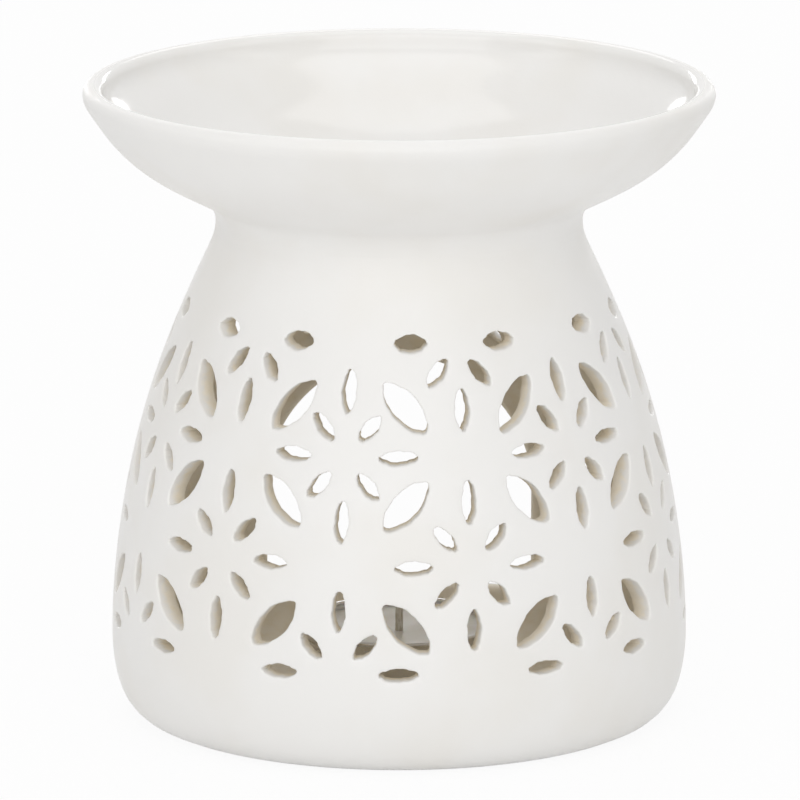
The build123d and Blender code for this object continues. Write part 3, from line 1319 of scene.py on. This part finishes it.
@dataclass
class Dish:
    """Round dish on the neck of the bell, glossy inside, with a rounded lip."""

    neck_radius: float = NECK_RADIUS
    neck_height: float = NECK_HEIGHT
    rim_radius: float = 59.99 * MM
    rise: float = 24.84 * MM
    wall: float = 3.9 * MM
    floor: float = 4.8 * MM
    fillet: float = 4.6 * MM
    fillet_turn: float = 62.0
    straight: float = 0.7 * MM
    seat: float = 4.1 * MM
    outside_shares: tuple[Pair, ...] = ((0.549, 0.352), (0.8155, 0.650), (0.939, 0.849))
    inside_shares: tuple[Pair, ...] = (
        (0.943, 0.776),
        (0.847, 0.504),
        (0.731, 0.285),
        (0.588, 0.098),
    )
    flat_share: float = 0.40
    gloss_share: float = 0.52
    gloss_margin: float = 0.05 * MM
    bare_edge: float = 0.1 * MM
    level_margin: float = 0.01 * MM
    steps: int = 288
    lip_steps: int = 18
    waist_steps: int = 14
    side_points: int = 40
    bowl_points: int = 48

    @property
    def lip_height(self) -> float:
        """Height of the middle of the rounded lip."""
        return self.neck_height + self.rise

    def build(self) -> Piece:
        """Model the dish.

        Returns:
            The dish, closed and with its faces outwards.
        """
        inside = self._inside()
        half = self.wall / 2
        middle = (self.rim_radius - half, self.lip_height)
        lip = arc(middle, half, 0, HALF_DEGREES, self.lip_steps)
        dish = turned("Oil_Dish", self._outside() + lip[1:-1] + inside, self.steps)
        places = places_of(dish)
        radii = np.hypot(places[:, 0], places[:, 1])
        bowl = np.interp(radii, [r for r, _ in inside][::-1], [z for _, z in inside][::-1])
        above = places[:, 2] > bowl - self.gloss_margin
        within = radii < self.rim_radius - self.gloss_share * self.wall
        write_numbers(dish, Mark.GLOSSY, (above & within).astype(float))
        low = places[:, 2] < self.neck_height + self.level_margin
        under = radii < self.neck_radius - self.bare_edge
        write_numbers(dish, Mark.BARE, (low & under).astype(float))
        return dish

    def _outside(self) -> list[Pair]:
        """Underside of the dish, from its seat on the bell up to the lip.

        Returns:
            Radius and height of each ring.
        """
        turn = math.radians(self.fillet_turn)
        centre = (self.neck_radius + self.fillet, self.neck_height + self.straight)
        last = HALF_DEGREES - self.fillet_turn
        waist = arc(centre, self.fillet, HALF_DEGREES, last, self.waist_steps)
        knots = [waist[-1]]
        for width_share, rise_share in self.outside_shares:
            radius = between(waist[-1][0], self.rim_radius, width_share)
            knots.append((radius, between(waist[-1][1], self.lip_height, rise_share)))
        knots.append((self.rim_radius, self.lip_height))
        side = smooth_curve(knots, (math.sin(turn), math.cos(turn)), (0, 1), self.side_points)
        radii = (self.neck_radius - self.seat, self.neck_radius)
        seat = [(radius, self.neck_height) for radius in radii]
        return seat + waist + [tuple(point) for point in side[1:]]

    def _inside(self) -> list[Pair]:
        """Bowl of the dish, from the lip down to its flat middle.

        Returns:
            Radius and height of each ring.
        """
        inner = self.rim_radius - self.wall
        floor_height = self.neck_height + self.floor
        knots = [(inner, self.lip_height)]
        for width_share, rise_share in self.inside_shares:
            height = between(floor_height, self.lip_height, rise_share)
            knots.append((inner * width_share, height))
        knots.append((inner * self.flat_share, floor_height))
        return [tuple(point) for point in smooth_curve(knots, (0, -1), (-1, 0), self.bowl_points)]

    def dress(self, dish: Piece, finish: bpy.types.Material) -> None:
        """Shade the dish and give it its finish.

        Args:
            dish: The dish.
            finish: Its glaze.
        """
        shade(dish)
        dish.data.materials.append(finish)
        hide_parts("oil_dish")
        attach(dish, Body.BURNER.value)


@dataclass
class Tealight:
    """Tealight that stands on the chamber floor: a pressed cup, its wax and its wick."""

    rest_gap: float = 0.15 * MM
    radius: float = 19.0 * MM
    height: float = 13.0 * MM
    wall: float = 0.3 * MM
    taper: float = 0.5 * MM
    corner: float = 1.2 * MM
    bead: float = 0.45 * MM
    wax_drop: float = 1.6 * MM
    wax_dip: float = 0.5 * MM
    wax_gap: float = 0.05 * MM
    foot_radius: float = 6.25 * MM
    foot_thickness: float = 0.3 * MM
    neck_radius: float = 1.35 * MM
    neck_rise: float = 3.6 * MM
    wick_radius: float = 0.75 * MM
    wick_gap: float = 0.02 * MM
    wick_above: float = 6.0 * MM
    bend_radius: float = 6.0 * MM
    bend: float = 28.0
    bend_steps: int = 8
    steps: int = 128
    corner_steps: int = 8
    roll_turns: Pair = (-80, 228)
    roll_steps: int = 20
    surface_points: int = 14
    wick_sides: int = 18
    wick_rings: int = 56
    strands: int = 3
    groove_edge: float = -0.9
    groove_share: float = 0.72
    twist: float = 13.0

    @property
    def base(self) -> float:
        """Height of the underside of the cup."""
        return CHAMBER_FLOOR + self.rest_gap

    def _side(self, inset: float, low: float, high: float) -> list[Pair]:
        """Half outline of the cup, from its base round the corner and up.

        Args:
            inset: How far it lies inside the outer face.
            low: Height of its base above the cup's.
            high: Height of its top above the cup's base.

        Returns:
            Radius and height of each ring.
        """
        top = self.radius - self.bead - inset
        foot = top - self.taper
        corner = self.corner - low
        centre = (foot - corner, self.base + self.corner)
        bow = arc(centre, corner, -QUARTER_DEGREES, 0, self.corner_steps)
        return bow + [(top, self.base + high)]

    def build_cup(self) -> Piece:
        """Model the cup with its rolled rim.

        Returns:
            The cup, closed and with its faces outwards.
        """
        bead_height = self.height - self.bead
        outer = self._side(0, 0, bead_height)
        inner = self._side(self.wall, self.wall, bead_height)
        centre = (self.radius - self.bead, self.base + bead_height)
        roll = arc(centre, self.bead, *self.roll_turns, self.roll_steps)
        return turned("Tealight_Cup", outer[:-1] + roll + inner[:-1][::-1], self.steps)

    def build_wax(self) -> Piece:
        """Model the wax round the wick and its foot.

        Returns:
            The wax, closed and with its faces outwards.
        """
        side = self._side(self.wall + self.wax_gap, self.wall, self.height - self.wax_drop)
        edge = side[-1]
        bore = self.wick_radius + self.wick_gap
        low = self.base + self.wall
        knots = [(bore, edge[1] - self.wax_dip), (edge[0] / 2, edge[1] - self.wax_dip / 2), edge]
        curve = smooth_curve(knots, (1, 0), (1, 0), self.surface_points)
        surface = [tuple(point) for point in curve][::-1]
        foot_top, neck_top = low + self.foot_thickness, low + self.neck_rise
        well = [
            (bore, neck_top),
            (self.neck_radius, neck_top),
            (self.neck_radius, foot_top),
            (self.foot_radius, foot_top),
            (self.foot_radius, low),
        ]
        return turned("Tealight_Wax", side[:-1] + surface + well, self.steps, bored=True)

    def build_wick(self) -> Piece:
        """Model the plaited wick, which leans over at its tip.

        Returns:
            The wick, closed and with its faces outwards.
        """
        low = self.base + self.wall
        top = self.base + self.height - self.wax_drop + self.wick_above
        deselect_all()
        bpy.ops.mesh.primitive_circle_add(
            vertices=self.wick_sides, radius=self.wick_radius, fill_type="NGON"
        )
        wick = bpy.context.object
        wick.name = wick.data.name = "Wick"
        wick.location.z = low
        apply_place(wick)
        marks = places_of(wick)
        turns = np.arctan2(marks[:, 1], marks[:, 0])
        pick_points(wick, np.cos(self.strands * turns) < self.groove_edge)
        inwards = (self.groove_share, self.groove_share, 1)
        bpy.ops.transform.resize(value=inwards, center_override=(0, 0, low))
        close_edit()
        open_edit(wick)
        rise = (0, 0, (top - low) / self.wick_rings)
        twist = math.radians(self.twist)
        for _ in range(self.wick_rings):
            bpy.ops.mesh.extrude_region_move(TRANSFORM_OT_translate={"value": rise})
            bpy.ops.transform.rotate(value=twist, orient_axis="Z", center_override=(0, 0, 0))
        close_edit()
        self._lean(wick, top - self.bend_radius * math.radians(self.bend), top)
        face_outwards(wick)
        return wick

    def _lean(self, wick: Piece, low: float, high: float) -> None:
        """Bend the tip of the wick over, step by step.

        Args:
            wick: The straight wick.
            low: Height at which the bend starts.
            high: Height of the tip.
        """
        heights = places_of(wick)[:, 2]
        turn = math.radians(self.bend) / self.bend_steps
        for i in range(self.bend_steps):
            lean = math.radians(self.bend) * i / self.bend_steps
            across = self.bend_radius * (1 - math.cos(lean))
            centre = (across, 0, low + self.bend_radius * math.sin(lean))
            pick_points(wick, heights > between(low, high, i / self.bend_steps))
            bpy.ops.transform.rotate(value=-turn, orient_axis="Y", center_override=centre)
            close_edit()

    def dress(self, piece: Piece, finish: bpy.types.Material, slot: Slot, node: str) -> None:
        """Shade a piece of the tealight and give it its finish.

        Args:
            piece: The piece.
            finish: Its material.
            slot: Not used.
            node: The CAD node that it replaces.
        """
        shade(piece)
        piece.data.materials.append(finish)
        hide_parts(node)
        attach(piece, Body.TEALIGHT.value)


@dataclass(frozen=True)
class Lamp:
    """Soft box that is aimed at a point."""

    name: str
    place: Place
    size: Pair
    power: float
    aim: Place = (0, 0, 0.07)

    def build(self) -> None:
        """Hang the lamp, unseen by the camera, and turn it to its aim."""
        light = bpy.data.lights.new(self.name, "AREA")
        light.shape = "RECTANGLE"
        light.size, light.size_y = self.size
        light.energy = self.power
        lamp = bpy.data.objects.new(self.name, light)
        bpy.context.scene.collection.objects.link(lamp)
        lamp.visible_camera = False
        lamp.location = self.place
        beam = Vector(self.aim) - Vector(self.place)
        lamp.rotation_euler = beam.to_track_quat("-Z", "Y").to_euler()


@dataclass(frozen=True)
class Studio:
    """White table and soft boxes, with the camera of the photograph."""

    camera_place: Place = (0.166 * MM, -1600 * MM, 420.2 * MM)
    camera_drop: float = 12.675
    lens: float = 386.4
    sensor: float = 36.0
    nearest: float = 0.05
    ambient: float = 0.52
    white: Colour = (1, 1, 1, 1)
    table_size: float = 8.0
    table_colour: Colour = (0.92, 0.92, 0.92, 1)
    table_share: float = 0.92
    lamps: tuple[Lamp, ...] = (
        Lamp("front_box", (-0.1, -2.2, 1.0), (3.0, 2.5), 25),
        Lamp("top_box", (0.0, 0.1, 2.0), (1.5, 1.5), 7),
        Lamp("left_strip", (-1.3, -0.5, 0.9), (0.4, 1.2), 1),
        Lamp("right_strip", (1.3, -0.5, 0.9), (0.4, 1.2), 1),
        Lamp("back_box", (0.0, 1.7, 1.5), (1.4, 1.0), 5),
        Lamp("back_left_strip", (-0.66, 2.1, 0.35), (0.15, 0.9), 2.4),
        Lamp("back_right_strip", (0.66, 2.1, 0.35), (0.15, 0.9), 2.4),
    )

    def build(self) -> None:
        """Set up the table, the light and the camera."""
        self._table()
        self._sky()
        for lamp in self.lamps:
            lamp.build()
        self._camera()

    def _table(self) -> None:
        """White table top that keeps the shadow and reads as the white background."""
        deselect_all()
        bpy.ops.mesh.primitive_plane_add(size=self.table_size)
        table = bpy.context.object
        table.name = "table"
        material = bpy.data.materials.new("table_white")
        material.use_nodes = True
        tree = material.node_tree
        tree.nodes.remove(tree.nodes["Principled BSDF"])
        cloth = tree.nodes.new("ShaderNodeBsdfDiffuse")
        cloth.inputs["Color"].default_value = self.table_colour
        glow = tree.nodes.new("ShaderNodeEmission")
        amount = tree.nodes.new("ShaderNodeMath")
        amount.operation = "MULTIPLY"
        amount.inputs[1].default_value = self.table_share
        mix = tree.nodes.new("ShaderNodeMixShader")
        links = tree.links
        links.new(self._seen(tree), amount.inputs[0])
        links.new(amount.outputs["Value"], mix.inputs["Fac"])
        links.new(cloth.outputs["BSDF"], mix.inputs[1])
        links.new(glow.outputs["Emission"], mix.inputs[2])
        links.new(mix.outputs["Shader"], tree.nodes["Material Output"].inputs["Surface"])
        table.data.materials.append(material)

    def _sky(self) -> None:
        """Even white surroundings, full white where they are seen or reflected."""
        world = bpy.data.worlds.new("studio_white")
        bpy.context.scene.world = world
        world.use_nodes = True
        tree = world.node_tree
        seen = tree.nodes["Background"]
        seen.inputs["Color"].default_value = self.white
        seen.inputs["Strength"].default_value = 1.0
        soft = tree.nodes.new("ShaderNodeBackground")
        soft.inputs["Color"].default_value = self.white
        soft.inputs["Strength"].default_value = self.ambient
        mix = tree.nodes.new("ShaderNodeMixShader")
        tree.links.new(self._seen(tree), mix.inputs["Fac"])
        tree.links.new(soft.outputs["Background"], mix.inputs[1])
        tree.links.new(seen.outputs["Background"], mix.inputs[2])
        tree.links.new(mix.outputs["Shader"], tree.nodes["World Output"].inputs["Surface"])

    def _seen(self, tree: bpy.types.NodeTree) -> Socket:
        """Tell where a shader is seen from where it only lights.

        Args:
            tree: The node tree of the shader.

        Returns:
            A socket that is 1 where the shader is seen, reflected or looked through, or else 0.
        """
        path = tree.nodes.new("ShaderNodeLightPath")
        share = path.outputs["Is Camera Ray"]
        for kind in ("Is Glossy Ray", "Is Transmission Ray"):
            larger = tree.nodes.new("ShaderNodeMath")
            larger.operation = "MAXIMUM"
            tree.links.new(share, larger.inputs[0])
            tree.links.new(path.outputs[kind], larger.inputs[1])
            share = larger.outputs["Value"]
        return share

    def _camera(self) -> None:
        """Put the camera where the photograph was taken."""
        camera = bpy.data.cameras.new("camera")
        camera.lens = self.lens
        camera.sensor_width = self.sensor
        camera.clip_start = self.nearest
        eye = bpy.data.objects.new("camera", camera)
        bpy.context.scene.collection.objects.link(eye)
        eye.location = self.camera_place
        eye.rotation_euler = (math.radians(QUARTER_DEGREES - self.camera_drop), 0, 0)
        bpy.context.scene.camera = eye
        bpy.context.scene.view_settings.view_transform = "Standard"


def report(piece: Piece) -> None:
    """Log the size of one piece.

    Args:
        piece: The piece.
    """
    places = places_of(piece)
    size = (places.max(axis=0) - places.min(axis=0)) / MM
    log.info("%s: %d faces, %.1f x %.1f x %.1f mm", piece.name, len(piece.data.polygons), *size)


def main() -> None:
    """Build, dress and report each piece of the burner."""
    logging.basicConfig(level=logging.INFO, format="%(message)s")
    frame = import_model()
    glaze = Glaze().material()
    bell = Bell()
    bell_piece = bell.build()
    bell.dress(bell_piece, glaze)
    report(bell_piece)
    dish = Dish()
    dish_piece = dish.build()
    dish.dress(dish_piece, glaze)
    report(dish_piece)
    tealight = Tealight()
    works: list[tuple[Callable[[], Piece], bpy.types.Material, Slot, str]] = [
        (tealight.build_cup, PressedTin().material(), Slot.TEALIGHT_TIN, "tealight_cup"),
        (tealight.build_wax, Paraffin().material(), Slot.CANDLE_WAX, "tealight_wax"),
        (tealight.build_wick, Cotton().material(), Slot.COTTON_WICK, "wick"),
    ]
    for build, finish, slot, node in works:
        piece = build()
        tealight.dress(piece, finish, slot, node)
        report(piece)
    foot = frame["nodes"]["wick_sustainer"]
    foot.data.materials.clear()
    foot.data.materials.append(TinPlate().material())
    report(foot)
    Studio().build()


if __name__ == "__main__":
    main()
